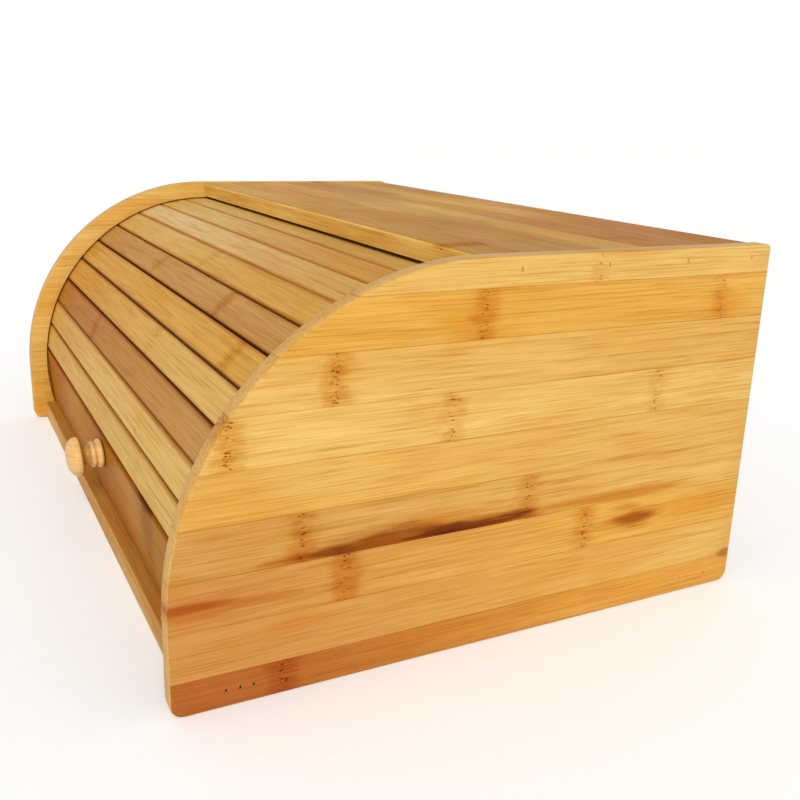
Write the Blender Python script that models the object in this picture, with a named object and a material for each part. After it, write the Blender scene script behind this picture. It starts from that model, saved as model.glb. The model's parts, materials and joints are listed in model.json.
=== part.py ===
"""Bamboo bread box with a roll top.

Metres, +Z up, +X to the right, the door faces -Y. The origin is on the surface the box stands on,
below the centre of the box's bounding box. The roll-top door is a wide bottom rail and a band of slats on
a canvas backing. It runs in a circular groove in both side panels, so the whole door turns about the
groove's centre line.
"""

import math

import bpy
import bmesh
from mathutils import Matrix

# Case
WIDTH = 0.400
DEPTH = 0.275
HEIGHT = 0.165
PANEL_THICKNESS = 0.009
FRONT_RADIUS = 0.127
BOTTOM_CORNER_RADIUS = 0.005
BACK_CORNER_RADIUS = 0.002
EDGE_ROUND = 0.0008
GAP = 0.0003

# Boards between the side panels
TOP_THICKNESS = 0.009
TOP_BELOW_PANELS = 0.0007
TOP_FRONT_SETBACK = 0.1285
TOP_FRONT_ROUND = 0.002
BOTTOM_THICKNESS = 0.011
BOTTOM_FRONT_SETBACK = 0.008
BACK_THICKNESS = 0.006
BACK_SETBACK = 0.002

# Roll-top door, angles in degrees up from the horizontal that points to the front
DOOR_RECESS = 0.0115
DOOR_RADIUS = FRONT_RADIUS - DOOR_RECESS
SLAT_THICKNESS = 0.0055
SLAT_COUNT = 12
SLAT_PITCH = 8.55
FIRST_SLAT_START = 6.35
DOOR_BOTTOM_ANGLE = -13.2
SLAT_WIDTH = 0.0160
NARROW_GAP_SLAT_WIDTH = 0.0163
NARROW_GAP_SLATS = (1, 4, 7, 8, 9)
DARK_SLATS = (3, 6)
SLAT_EDGE_ROUND = 0.0010
RAIL_THICKNESS = 0.0046
RAIL_LOWER_ROUND = 0.0035
CANVAS_THICKNESS = 0.0006
CANVAS_INSET = 0.005
CANVAS_LOW_TRIM = 0.7
CANVAS_HIGH_TRIM = 0.4

# Groove in the side panels
GROOVE_DEPTH = 0.0045
GROOVE_CLEARANCE = 0.0005
SLAT_END_CLEARANCE = 0.0005
GROOVE_START = -17.0
GROOVE_END = 197.0

# Knob and its screw, along the knob's axis from the bottom rail's face
KNOB_X = 0.014
KNOB_ABOVE_RAIL_MIDDLE = 0.0096
KNOB_BASE_RADIUS = 0.0075
KNOB_BASE_LENGTH = 0.0075
KNOB_BEAD_GROOVE = 0.0004
KNOB_NECK_RADIUS = 0.0043
KNOB_NECK_FLARE = 0.0007
KNOB_CAP_RADIUS = 0.0105
KNOB_CAP_START = 0.0110
KNOB_RIM_HEIGHT = 0.0022
KNOB_LENGTH = 0.0195
KNOB_BORE_RADIUS = 0.0019
KNOB_BORE_DEPTH = 0.0125
SCREW_RADIUS = 0.0016
SCREW_HEAD_RADIUS = 0.0038
SCREW_HEAD_HEIGHT = 0.0024
SCREW_TIP = 0.0110
SCREW_SLOT_WIDTH = 0.0009
SCREW_SLOT_LENGTH = 0.0044
SCREW_SLOT_DEPTH = 0.0012

# Nails through the side panels, distances back from the panels' front edge and up from the floor
NAIL_LENGTH = 0.019
NAIL_HEAD_SECTION = (0.0006, 0.0014)
NAIL_SHANK_SECTION = (0.0005, 0.0009)
NAIL_HEAD_HEIGHT = 0.0005
NAIL_POINT_LENGTH = 0.0015
NAIL_SUNK = 0.0005
NAIL_GAP = 0.0002
TOP_NAIL_HEIGHT = 0.1597
BOTTOM_NAIL_HEIGHT = 0.0068
TOP_NAIL_SETBACKS = (0.1420, 0.1845, 0.2265, 0.2635)
FRONT_NAIL_SETBACKS = (0.0210, 0.0265, 0.0318)
BACK_NAIL_SETBACKS = (0.2440, 0.2485, 0.2595)

# How far a cutter reaches past the surface it cuts
OVERSHOOT = 0.001

# Places that follow from the sizes above
SLAT_INNER = DOOR_RADIUS - SLAT_THICKNESS
RAIL_OUTER = SLAT_INNER + RAIL_THICKNESS
RAIL_ANGLE = (DOOR_BOTTOM_ANGLE + FIRST_SLAT_START) / 2
RAIL_HALF_SPAN = (FIRST_SLAT_START - DOOR_BOTTOM_ANGLE) / 2
RAIL_WIDTH = 2 * SLAT_INNER * math.tan(math.radians(RAIL_HALF_SPAN)) - 2 * GAP
RAIL_TILT = math.radians(RAIL_ANGLE)
KNOB_TIP_OUTWARDS = (RAIL_OUTER + KNOB_LENGTH) * math.cos(RAIL_TILT)
KNOB_TIP_REACH = KNOB_TIP_OUTWARDS - KNOB_ABOVE_RAIL_MIDDLE * math.sin(RAIL_TILT)
FRONT_Y = (KNOB_TIP_REACH - FRONT_RADIUS - DEPTH) / 2
BACK_Y = FRONT_Y + DEPTH
PIVOT_Y = FRONT_Y + FRONT_RADIUS
PIVOT_Z = HEIGHT - FRONT_RADIUS
PANEL_OUTER_X = WIDTH / 2
PANEL_INNER_X = PANEL_OUTER_X - PANEL_THICKNESS
BOARD_HALF_WIDTH = PANEL_INNER_X - GAP
SLAT_HALF_LENGTH = PANEL_INNER_X + GROOVE_DEPTH - SLAT_END_CLEARANCE
CANVAS_OUTER = SLAT_INNER - GAP
CANVAS_INNER = CANVAS_OUTER - CANVAS_THICKNESS


def clear_scene():
    for thing in list(bpy.data.objects):
        bpy.data.objects.remove(thing, do_unlink=True)


def make_material(name, colour, roughness, metallic=0.0):
    material = bpy.data.materials.new(name)
    material.use_nodes = True
    shader = material.node_tree.nodes["Principled BSDF"]
    shader.inputs["Base Color"].default_value = (*colour, 1.0)
    shader.inputs["Roughness"].default_value = roughness
    shader.inputs["Metallic"].default_value = metallic
    material.diffuse_color = (*colour, 1.0)
    return material


def side_bamboo():
    return make_material("side_bamboo", (0.79, 0.45, 0.13), 0.38)


def top_bamboo():
    return make_material("top_bamboo", (0.53, 0.30, 0.11), 0.36)


def bottom_bamboo():
    return make_material("bottom_bamboo", (0.50, 0.26, 0.08), 0.42)


def back_bamboo():
    return make_material("back_bamboo", (0.66, 0.42, 0.18), 0.50)


def light_slat_bamboo():
    return make_material("light_slat_bamboo", (0.64, 0.42, 0.15), 0.36)


def dark_slat_bamboo():
    return make_material("dark_slat_bamboo", (0.48, 0.26, 0.09), 0.36)


def canvas():
    return make_material("canvas", (0.62, 0.55, 0.42), 0.90)


def knob_wood():
    return make_material("knob_wood", (0.80, 0.56, 0.25), 0.32)


def steel():
    return make_material("steel", (0.55, 0.55, 0.57), 0.35, 1.0)


def make_object(name, mesh_builder, material=None):
    mesh = bpy.data.meshes.new(name)
    bmesh.ops.recalc_face_normals(mesh_builder, faces=mesh_builder.faces)
    mesh_builder.to_mesh(mesh)
    mesh_builder.free()
    thing = bpy.data.objects.new(name, mesh)
    bpy.context.scene.collection.objects.link(thing)
    if material:
        mesh.materials.append(material)
    return thing


def copy_object(source, name):
    thing = bpy.data.objects.new(name, source.data)
    bpy.context.scene.collection.objects.link(thing)
    return thing


def shade_round(thing, angle=40):
    thing.data.shade_smooth()
    thing.data.set_sharp_from_angle(angle=math.radians(angle))


def arc(centre, radius, start, end, steps):
    """Points on an arc in the YZ plane, angles in degrees from +Y towards +Z."""
    points = []
    for step in range(steps + 1):
        angle = math.radians(start + (end - start) * step / steps)
        points.append((centre[0] + radius * math.cos(angle), centre[1] + radius * math.sin(angle)))
    return points


def prism_mesh(outline, low_x, high_x):
    """A solid with the given YZ outline between two X planes."""
    builder = bmesh.new()
    corners = [builder.verts.new((low_x, y, z)) for y, z in outline]
    face = builder.faces.new(corners)
    grown = bmesh.ops.extrude_face_region(builder, geom=[face])
    moved = [item for item in grown["geom"] if isinstance(item, bmesh.types.BMVert)]
    bmesh.ops.translate(builder, verts=moved, vec=(high_x - low_x, 0, 0))
    return builder


def box(name, low, high, material=None):
    outline = [(low[1], low[2]), (high[1], low[2]), (high[1], high[2]), (low[1], high[2])]
    return make_object(name, prism_mesh(outline, low[0], high[0]), material)


def turned_mesh(profile, segments):
    """A closed solid turned about Z. The profile of (radius, height) starts and ends on the axis."""
    builder = bmesh.new()
    points = [builder.verts.new((radius, 0, height)) for radius, height in profile]
    edges = [builder.edges.new(pair) for pair in zip(points, points[1:])]
    bmesh.ops.spin(
        builder,
        geom=points + edges,
        axis=(0, 0, 1),
        cent=(0, 0, 0),
        angle=2 * math.pi,
        steps=segments,
        use_merge=True,
    )
    bmesh.ops.remove_doubles(builder, verts=builder.verts, dist=1e-7)
    return builder


def round_edges(thing, width, segments=2):
    bevel = thing.modifiers.new("rounded_edges", "BEVEL")
    bevel.width = width
    bevel.segments = segments
    bevel.limit_method = "ANGLE"
    bevel.angle_limit = math.radians(50)


def cut(thing, cutter):
    boolean = thing.modifiers.new("cut_by_" + cutter.name, "BOOLEAN")
    boolean.operation = "DIFFERENCE"
    boolean.solver = "EXACT"
    boolean.object = cutter


def hide_cutter(cutter):
    cutter.hide_render = True
    cutter.display_type = "WIRE"
    return cutter


def panel_outline():
    """Front bottom corner, back bottom corner, back top corner, then the quarter circle at the front."""
    low = BOTTOM_CORNER_RADIUS
    top = BACK_CORNER_RADIUS
    outline = arc((FRONT_Y + low, low), low, 180, 270, 4)
    outline += arc((BACK_Y - low, low), low, 270, 360, 4)
    outline += arc((BACK_Y - top, HEIGHT - top), top, 0, 90, 3)
    outline += arc((PIVOT_Y, PIVOT_Z), FRONT_RADIUS, 90, 180, 40)
    return outline


def groove_outline():
    """The door's track: a ring sector a little wider than the slats."""
    corner_reach = SLAT_WIDTH / 2
    outer = math.hypot(DOOR_RADIUS, corner_reach) + GROOVE_CLEARANCE
    inner = SLAT_INNER - GROOVE_CLEARANCE
    pivot = (PIVOT_Y, PIVOT_Z)
    start = 180 - GROOVE_START
    end = 180 - GROOVE_END
    return arc(pivot, outer, start, end, 72) + arc(pivot, inner, end, start, 72)


def make_groove_cutter(name, side):
    inner_x = side * (PANEL_INNER_X - OVERSHOOT)
    outer_x = side * (PANEL_INNER_X + GROOVE_DEPTH)
    return hide_cutter(make_object(name, prism_mesh(groove_outline(), inner_x, outer_x)))


def nail_places():
    """Name and (y, z) of each nail in one side panel."""
    rows = (
        ("top", TOP_NAIL_SETBACKS, TOP_NAIL_HEIGHT),
        ("front", FRONT_NAIL_SETBACKS, BOTTOM_NAIL_HEIGHT),
        ("back", BACK_NAIL_SETBACKS, BOTTOM_NAIL_HEIGHT),
    )
    places = []
    for row, setbacks, height in rows:
        for number, setback in enumerate(setbacks, start=1):
            places.append((f"{row}_{number}", FRONT_Y + setback, height))
    return places


def stepped_peg(section, narrow_section, top, step, tip, point):
    """A rectangular peg along Z that narrows at a step and again at its end, point high."""
    levels = [(section, top), (section, step), (narrow_section, step), (narrow_section, tip + point)]
    if point:
        levels.append(((narrow_section[0] / 3, narrow_section[1] / 3), tip))
    peg = bmesh.new()
    rings = []
    for (width, height), z in levels:
        corners = ((width, height), (-width, height), (-width, -height), (width, -height))
        rings.append([peg.verts.new((y / 2, x / 2, z)) for x, y in corners])
    for upper, lower in zip(rings, rings[1:]):
        for corner in range(4):
            following = (corner + 1) % 4
            peg.faces.new((upper[corner], lower[corner], lower[following], upper[following]))
    peg.faces.new(rings[0])
    peg.faces.new(rings[-1])
    return peg


def widened(section):
    """A nail's section with its gap all round."""
    return (section[0] + 2 * NAIL_GAP, section[1] + 2 * NAIL_GAP)


def make_nail_hole_cutter(name, side):
    """Stepped pegs, one for each nail, that run from outside the panel into the boards."""
    step = -NAIL_SUNK - NAIL_HEAD_HEIGHT - NAIL_GAP
    tip = -NAIL_SUNK - NAIL_LENGTH - NAIL_GAP
    pegs = bmesh.new()
    for _, y, z in nail_places():
        peg = stepped_peg(widened(NAIL_HEAD_SECTION), widened(NAIL_SHANK_SECTION), OVERSHOOT, step, tip, 0)
        bmesh.ops.rotate(peg, verts=peg.verts, cent=(0, 0, 0), matrix=turn_to_side(side))
        bmesh.ops.translate(peg, verts=peg.verts, vec=(side * PANEL_OUTER_X, y, z))
        piece = bpy.data.meshes.new("peg")
        peg.to_mesh(piece)
        peg.free()
        pegs.from_mesh(piece)
        bpy.data.meshes.remove(piece)
    return hide_cutter(make_object(name, pegs))


def turn_to_side(side):
    """Turns +Z towards +X on the right side and towards -X on the left."""
    return Matrix.Rotation(side * math.pi / 2, 3, "Y")


def make_side_panel(name, side, groove, nail_holes, material):
    inner_x = side * PANEL_INNER_X
    outer_x = side * PANEL_OUTER_X
    panel = make_object(name, prism_mesh(panel_outline(), inner_x, outer_x), material)
    round_edges(panel, EDGE_ROUND)
    cut(panel, groove)
    cut(panel, nail_holes)
    return panel


def board_outline(low_y, high_y, low_z, high_z, front_round):
    """A board's section with its upper front edge rounded over."""
    outline = [(low_y, low_z), (high_y, low_z), (high_y, high_z)]
    outline += arc((low_y + front_round, high_z - front_round), front_round, 90, 180, 5)
    return outline


def make_top_board(nail_holes, material):
    high_z = HEIGHT - TOP_BELOW_PANELS
    outline = board_outline(
        FRONT_Y + TOP_FRONT_SETBACK,
        BACK_Y - BACK_SETBACK,
        high_z - TOP_THICKNESS,
        high_z,
        TOP_FRONT_ROUND,
    )
    board = make_object("top_board", prism_mesh(outline, -BOARD_HALF_WIDTH, BOARD_HALF_WIDTH), material)
    for cutter in nail_holes:
        cut(board, cutter)
    return board


def make_bottom_board(nail_holes, material):
    outline = board_outline(
        FRONT_Y + BOTTOM_FRONT_SETBACK,
        BACK_Y - BACK_SETBACK,
        0.0,
        BOTTOM_THICKNESS,
        EDGE_ROUND,
    )
    board = make_object("bottom_board", prism_mesh(outline, -BOARD_HALF_WIDTH, BOARD_HALF_WIDTH), material)
    for cutter in nail_holes:
        cut(board, cutter)
    return board


def make_back_panel(material):
    high_y = BACK_Y - BACK_SETBACK
    low_z = BOTTOM_THICKNESS + GAP
    high_z = HEIGHT - TOP_BELOW_PANELS - TOP_THICKNESS - GAP
    low = (-BOARD_HALF_WIDTH, high_y - BACK_THICKNESS, low_z)
    high = (BOARD_HALF_WIDTH, high_y, high_z)
    return box("back_panel", low, high, material)


def nail_mesh_object(name, material):
    """A brad: a narrow flat head, a thinner shank and a blunt point."""
    levels = (0, -NAIL_HEAD_HEIGHT, -NAIL_LENGTH, NAIL_POINT_LENGTH)
    return make_object(name, stepped_peg(NAIL_HEAD_SECTION, NAIL_SHANK_SECTION, *levels), material)


def make_nails(material):
    """Ten nails through each side panel, all sharing one mesh."""
    first = None
    for side_name, side in (("right", 1), ("left", -1)):
        for place, y, z in nail_places():
            name = f"nail_{side_name}_{place}"
            nail = copy_object(first, name) if first else nail_mesh_object(name, material)
            first = first or nail
            nail.rotation_euler = (0, side * math.pi / 2, 0)
            nail.location = (side * (PANEL_OUTER_X - NAIL_SUNK), y, z)


def make_door_pivot():
    pivot = bpy.data.objects.new("door_pivot", None)
    bpy.context.scene.collection.objects.link(pivot)
    pivot.location = (0, PIVOT_Y, PIVOT_Z)
    return pivot


def hang_on_door(thing, pivot, angle):
    """Turns a piece that was modelled at the front of the track to its own angle on the track."""
    thing.parent = pivot
    thing.rotation_euler = (-math.radians(angle), 0, 0)


def slat_outline(width, reach, low_round, high_round):
    """Section of a slat that faces -Y, its outer face at the given reach and its outer edges rounded."""
    outer = -reach
    half = width / 2
    outline = [(-SLAT_INNER, -half), (-SLAT_INNER, half)]
    outline += arc((outer + high_round, half - high_round), high_round, 90, 180, 3)
    outline += arc((outer + low_round, -half + low_round), low_round, 180, 270, 3)
    return outline


def slat_span(number):
    """First and last angle of a slat on the track."""
    start = FIRST_SLAT_START + SLAT_PITCH * (number - 1)
    return start, start + SLAT_PITCH


def make_bottom_rail(pivot, screw_hole, material):
    """The flat rail that carries the knob. Its lower edge is rounded above the bottom board."""
    outline = slat_outline(RAIL_WIDTH, RAIL_OUTER, RAIL_LOWER_ROUND, SLAT_EDGE_ROUND)
    rail = make_object("bottom_rail", prism_mesh(outline, -SLAT_HALF_LENGTH, SLAT_HALF_LENGTH), material)
    hang_on_door(rail, pivot, RAIL_ANGLE)
    cut(rail, screw_hole)
    return rail


def make_slats(pivot, light, dark):
    """Slats of one width, and a few slightly wider ones that leave narrower gaps."""
    for number in range(1, SLAT_COUNT + 1):
        start, end = slat_span(number)
        width = NARROW_GAP_SLAT_WIDTH if number in NARROW_GAP_SLATS else SLAT_WIDTH
        outline = slat_outline(width, DOOR_RADIUS, SLAT_EDGE_ROUND, SLAT_EDGE_ROUND)
        solid = prism_mesh(outline, -SLAT_HALF_LENGTH, SLAT_HALF_LENGTH)
        slat = make_object(f"slat_{number:02d}", solid, dark if number in DARK_SLATS else light)
        hang_on_door(slat, pivot, (start + end) / 2)


def canvas_path():
    """Angle and stretch of each fold: flat behind the rail, then from slat boundary to slat boundary."""
    first_slat_middle = FIRST_SLAT_START + SLAT_PITCH / 2
    leaving = (RAIL_ANGLE + first_slat_middle) / 2
    path = []
    for angle in (DOOR_BOTTOM_ANGLE + CANVAS_LOW_TRIM, leaving):
        path.append((angle, 1 / math.cos(math.radians(angle - RAIL_ANGLE))))
    stretch = 1 / math.cos(math.radians(SLAT_PITCH / 2))
    for number in range(1, SLAT_COUNT + 1):
        path.append((slat_span(number)[0], stretch))
    path.append((slat_span(SLAT_COUNT)[1] - CANVAS_HIGH_TRIM, stretch))
    return path


def make_canvas_backing(pivot, screw_hole, material):
    """A strip that follows the inner faces of the rail and the slats, up to the last slat."""
    path = canvas_path()
    outside = [track_point(CANVAS_OUTER * stretch, angle) for angle, stretch in path]
    inside = [track_point(CANVAS_INNER * stretch, angle) for angle, stretch in reversed(path)]
    half_width = PANEL_INNER_X - CANVAS_INSET
    backing = make_object("canvas_backing", prism_mesh(outside + inside, -half_width, half_width), material)
    backing.parent = pivot
    cut(backing, screw_hole)
    return backing


def track_point(radius, angle):
    """A point at an angle on the track, measured from the pivot."""
    turn = math.radians(angle)
    return (-radius * math.cos(turn), radius * math.sin(turn))


def make_screw_hole_cutter(pivot):
    """A round peg through rail and canvas on the knob's axis."""
    radius = SCREW_RADIUS + GAP
    low = CANVAS_INNER - RAIL_OUTER - OVERSHOOT
    profile = [(0, low), (radius, low), (radius, OVERSHOOT), (0, OVERSHOOT)]
    cutter = make_object("screw_hole_cutter", turned_mesh(profile, 16))
    place_on_knob_axis(cutter, pivot)
    return hide_cutter(cutter)


def place_on_knob_axis(thing, pivot):
    """Points a piece's +Z outwards along the knob's axis, with its origin on the rail's outer face."""
    y, z = track_point(RAIL_OUTER, RAIL_ANGLE)
    rise_y, rise_z = track_point(KNOB_ABOVE_RAIL_MIDDLE, RAIL_ANGLE + 90)
    thing.parent = pivot
    thing.rotation_euler = (math.radians(90 - RAIL_ANGLE), 0, 0)
    thing.location = (KNOB_X, y + rise_y, z + rise_z)


def bead(low, high, radius, bulge, steps=4):
    """A half-round band on a turned piece, as (radius, height) points."""
    points = []
    for step in range(steps + 1):
        share = step / steps
        points.append((radius + bulge * math.sin(math.pi * share), low + (high - low) * share))
    return points


def knob_profile():
    """From the bore's end, out over the base with its two beads, the neck and the domed cap."""
    base = GAP
    middle = KNOB_BASE_LENGTH / 2
    cap_rim = KNOB_CAP_START + KNOB_RIM_HEIGHT
    bead_bulge = KNOB_BEAD_GROOVE * 1.25
    profile = [(0, KNOB_BORE_DEPTH), (KNOB_BORE_RADIUS, KNOB_BORE_DEPTH), (KNOB_BORE_RADIUS, base)]
    profile += bead(base, middle, KNOB_BASE_RADIUS - bead_bulge, bead_bulge)
    second_radius = KNOB_BASE_RADIUS - 3 * KNOB_BEAD_GROOVE
    profile += bead(middle + KNOB_BEAD_GROOVE, KNOB_BASE_LENGTH, second_radius, bead_bulge)
    profile += [
        (KNOB_NECK_RADIUS + KNOB_NECK_FLARE, KNOB_BASE_LENGTH + KNOB_NECK_FLARE),
        (KNOB_NECK_RADIUS, KNOB_BASE_LENGTH + 2.5 * KNOB_NECK_FLARE),
        (KNOB_NECK_RADIUS + KNOB_NECK_FLARE, KNOB_CAP_START - KNOB_NECK_FLARE),
        (KNOB_NECK_RADIUS + 3.5 * KNOB_NECK_FLARE, KNOB_CAP_START),
        (KNOB_CAP_RADIUS - KNOB_NECK_FLARE, KNOB_CAP_START + KNOB_NECK_FLARE),
    ]
    dome = KNOB_LENGTH - cap_rim
    steps = 7
    for step in range(steps):
        angle = math.pi / 2 * step / steps
        profile.append((KNOB_CAP_RADIUS * math.cos(angle), cap_rim + dome * math.sin(angle)))
    profile.append((0, KNOB_LENGTH))
    return profile


def make_knob(pivot, material):
    knob = make_object("knob", turned_mesh(knob_profile(), 32), material)
    shade_round(knob, 50)
    place_on_knob_axis(knob, pivot)
    return knob


def screw_profile():
    """A pan head under the canvas, and a shank that ends in a point inside the knob."""
    seat = -RAIL_THICKNESS - CANVAS_THICKNESS - 2 * GAP
    low = seat - SCREW_HEAD_HEIGHT
    tip_start = SCREW_TIP - 2 * SCREW_RADIUS
    return [
        (0, low),
        (SCREW_HEAD_RADIUS * 0.72, low),
        (SCREW_HEAD_RADIUS * 0.94, low + SCREW_HEAD_HEIGHT * 0.3),
        (SCREW_HEAD_RADIUS, low + SCREW_HEAD_HEIGHT * 0.7),
        (SCREW_HEAD_RADIUS, seat),
        (SCREW_RADIUS, seat),
        (SCREW_RADIUS, tip_start),
        (0, SCREW_TIP),
    ]


def make_screw_slot_cutter(name, pivot, long_side, short_side):
    """One bar of the screw's cross slot."""
    low = -RAIL_THICKNESS - CANVAS_THICKNESS - 2 * GAP - SCREW_HEAD_HEIGHT
    corner = (long_side / 2, short_side / 2, low + SCREW_SLOT_DEPTH)
    bar = box(name, (-corner[0], -corner[1], low - OVERSHOOT), corner)
    place_on_knob_axis(bar, pivot)
    return hide_cutter(bar)


def make_knob_screw(pivot, material):
    screw = make_object("knob_screw", turned_mesh(screw_profile(), 20), material)
    shade_round(screw)
    place_on_knob_axis(screw, pivot)
    cut(screw, make_screw_slot_cutter("slot_cutter_across", pivot, SCREW_SLOT_LENGTH, SCREW_SLOT_WIDTH))
    cut(screw, make_screw_slot_cutter("slot_cutter_along", pivot, SCREW_SLOT_WIDTH, SCREW_SLOT_LENGTH))
    return screw


def make_case():
    bamboo = side_bamboo()
    nail_holes = []
    for side_name, side in (("right", 1), ("left", -1)):
        groove = make_groove_cutter("groove_cutter_" + side_name, side)
        holes = make_nail_hole_cutter("nail_hole_cutter_" + side_name, side)
        make_side_panel("side_panel_" + side_name, side, groove, holes, bamboo)
        nail_holes.append(holes)
    make_top_board(nail_holes, top_bamboo())
    make_bottom_board(nail_holes, bottom_bamboo())
    make_back_panel(back_bamboo())


def make_door(metal):
    pivot = make_door_pivot()
    screw_hole = make_screw_hole_cutter(pivot)
    dark = dark_slat_bamboo()
    make_bottom_rail(pivot, screw_hole, dark)
    make_slats(pivot, light_slat_bamboo(), dark)
    make_canvas_backing(pivot, screw_hole, canvas())
    make_knob(pivot, knob_wood())
    make_knob_screw(pivot, metal)


def main():
    clear_scene()
    metal = steel()
    make_case()
    make_nails(metal)
    make_door(metal)


main()
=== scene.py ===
"""Looks of the bamboo bread box: camera, light, floor, and the surface and small shapes of each piece."""

import json
import math
import random

import bpy
import bmesh
from mathutils import Matrix, Vector


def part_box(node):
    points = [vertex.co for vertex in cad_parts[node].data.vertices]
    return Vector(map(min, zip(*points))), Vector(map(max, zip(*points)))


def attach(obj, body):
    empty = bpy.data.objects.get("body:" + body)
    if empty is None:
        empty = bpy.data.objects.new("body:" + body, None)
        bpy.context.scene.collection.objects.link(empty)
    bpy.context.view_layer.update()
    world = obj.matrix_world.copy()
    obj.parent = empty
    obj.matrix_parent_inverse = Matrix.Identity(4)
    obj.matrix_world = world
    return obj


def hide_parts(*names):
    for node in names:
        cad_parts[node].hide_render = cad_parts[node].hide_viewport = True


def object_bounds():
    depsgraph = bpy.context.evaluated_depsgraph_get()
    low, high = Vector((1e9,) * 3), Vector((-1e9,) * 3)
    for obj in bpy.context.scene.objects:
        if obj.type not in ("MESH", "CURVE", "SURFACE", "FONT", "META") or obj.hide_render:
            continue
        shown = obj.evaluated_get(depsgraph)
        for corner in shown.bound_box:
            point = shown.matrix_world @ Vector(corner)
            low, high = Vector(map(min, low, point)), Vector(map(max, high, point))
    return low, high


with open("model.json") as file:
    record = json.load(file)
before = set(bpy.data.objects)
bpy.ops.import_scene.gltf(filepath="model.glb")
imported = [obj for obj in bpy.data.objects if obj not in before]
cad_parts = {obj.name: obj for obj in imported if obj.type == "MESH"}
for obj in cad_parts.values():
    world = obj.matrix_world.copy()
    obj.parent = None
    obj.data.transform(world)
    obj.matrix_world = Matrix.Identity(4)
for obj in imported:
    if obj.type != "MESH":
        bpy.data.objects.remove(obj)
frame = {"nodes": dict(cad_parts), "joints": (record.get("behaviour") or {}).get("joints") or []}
cad_low, cad_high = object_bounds()
nodes = frame["nodes"]
joint = frame["joints"][0]

# The door's centre line, its slats, and all its strips of wood from the lowest up
PIVOT = Vector(joint["pos_m"])
SLATS = sorted(name for name in nodes if name.startswith("slat_"))
DOOR_STRIPS = ["bottom_rail"] + SLATS


# ---------------------------------------------------------------- colours

def linear(red, green, blue):
    """A colour given in screen values from 0 to 255, as the linear RGBA that shaders take."""
    def channel(value):
        share = value / 255
        return share / 12.92 if share <= 0.04045 else ((share + 0.055) / 1.055) ** 2.4
    return (channel(red), channel(green), channel(blue), 1.0)


# ---------------------------------------------------------------- node graphs

class Graph:
    """A material's nodes. Its methods return output sockets, so that they read as formulas."""

    def __init__(self, name):
        self.material = bpy.data.materials.new(name)
        self.material.use_nodes = True
        self.tree = self.material.node_tree
        self.tree.nodes.clear()
        self.shader = self.tree.nodes.new("ShaderNodeBsdfPrincipled")
        output = self.tree.nodes.new("ShaderNodeOutputMaterial")
        self.tree.links.new(self.shader.outputs["BSDF"], output.inputs["Surface"])

    def put(self, target, value):
        if isinstance(value, bpy.types.NodeSocket):
            self.tree.links.new(value, target)
        else:
            target.default_value = value

    def math(self, operation, first, second=0.0):
        node = self.tree.nodes.new("ShaderNodeMath")
        node.operation = operation
        for target, value in zip(node.inputs, (first, second)):
            self.put(target, value)
        return node.outputs[0]

    def add(self, first, second):
        return self.math("ADD", first, second)

    def subtract(self, first, second):
        return self.math("SUBTRACT", first, second)

    def multiply(self, first, second):
        return self.math("MULTIPLY", first, second)

    def smooth(self, value, low, high, start=0.0, end=1.0):
        """Goes from start to end in an S curve as value goes from low to high."""
        node = self.tree.nodes.new("ShaderNodeMapRange")
        node.interpolation_type = "SMOOTHSTEP"
        inputs = ("Value", "From Min", "From Max", "To Min", "To Max")
        for name, item in zip(inputs, (value, low, high, start, end)):
            self.put(node.inputs[name], item)
        return node.outputs["Result"]

    def combine(self, x, y, z):
        node = self.tree.nodes.new("ShaderNodeCombineXYZ")
        for target, value in zip(node.inputs, (x, y, z)):
            self.put(target, value)
        return node.outputs[0]

    def separate(self, vector):
        node = self.tree.nodes.new("ShaderNodeSeparateXYZ")
        self.put(node.inputs[0], vector)
        return node.outputs[0], node.outputs[1], node.outputs[2]

    def coordinate(self, kind):
        return self.tree.nodes.new("ShaderNodeTexCoord").outputs[kind]

    def noise(self, vector, seed=0.0, detail=2.0, roughness=0.5, distortion=0.0):
        node = self.tree.nodes.new("ShaderNodeTexNoise")
        node.noise_dimensions = "4D"
        self.put(node.inputs["Vector"], vector)
        self.put(node.inputs["W"], seed)
        node.inputs["Scale"].default_value = 1.0
        node.inputs["Detail"].default_value = detail
        node.inputs["Roughness"].default_value = roughness
        node.inputs["Distortion"].default_value = distortion
        return node.outputs[0]

    def cells(self, vector):
        node = self.tree.nodes.new("ShaderNodeTexVoronoi")
        self.put(node.inputs["Vector"], vector)
        node.inputs["Scale"].default_value = 1.0
        return node.outputs["Distance"]

    def mix(self, share, first, second, blend="MIX"):
        node = self.tree.nodes.new("ShaderNodeMix")
        node.data_type = "RGBA"
        node.blend_type = blend
        self.put(node.inputs[0], share)
        self.put(node.inputs[6], first)
        self.put(node.inputs[7], second)
        return node.outputs[2]

    def shaded(self, colour, amount, factor):
        """The colour multiplied by a factor for each channel, by amount from 0 to 1."""
        return self.mix(amount, colour, factor, "MULTIPLY")

    def steps(self, position, stops):
        """A colour that changes at once at each (position, colour) stop."""
        node = self.tree.nodes.new("ShaderNodeValToRGB")
        node.color_ramp.interpolation = "CONSTANT"
        elements = node.color_ramp.elements
        while len(elements) < len(stops):
            elements.new(1.0)
        for element, (place, colour) in zip(elements, stops):
            element.position = place
            element.color = colour
        self.put(node.inputs[0], position)
        return node.outputs[0]

    def bump(self, height, distance, strength):
        node = self.tree.nodes.new("ShaderNodeBump")
        node.inputs["Distance"].default_value = distance
        node.inputs["Strength"].default_value = strength
        self.put(node.inputs["Height"], height)
        return node.outputs[0]


# ---------------------------------------------------------------- bamboo

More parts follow.
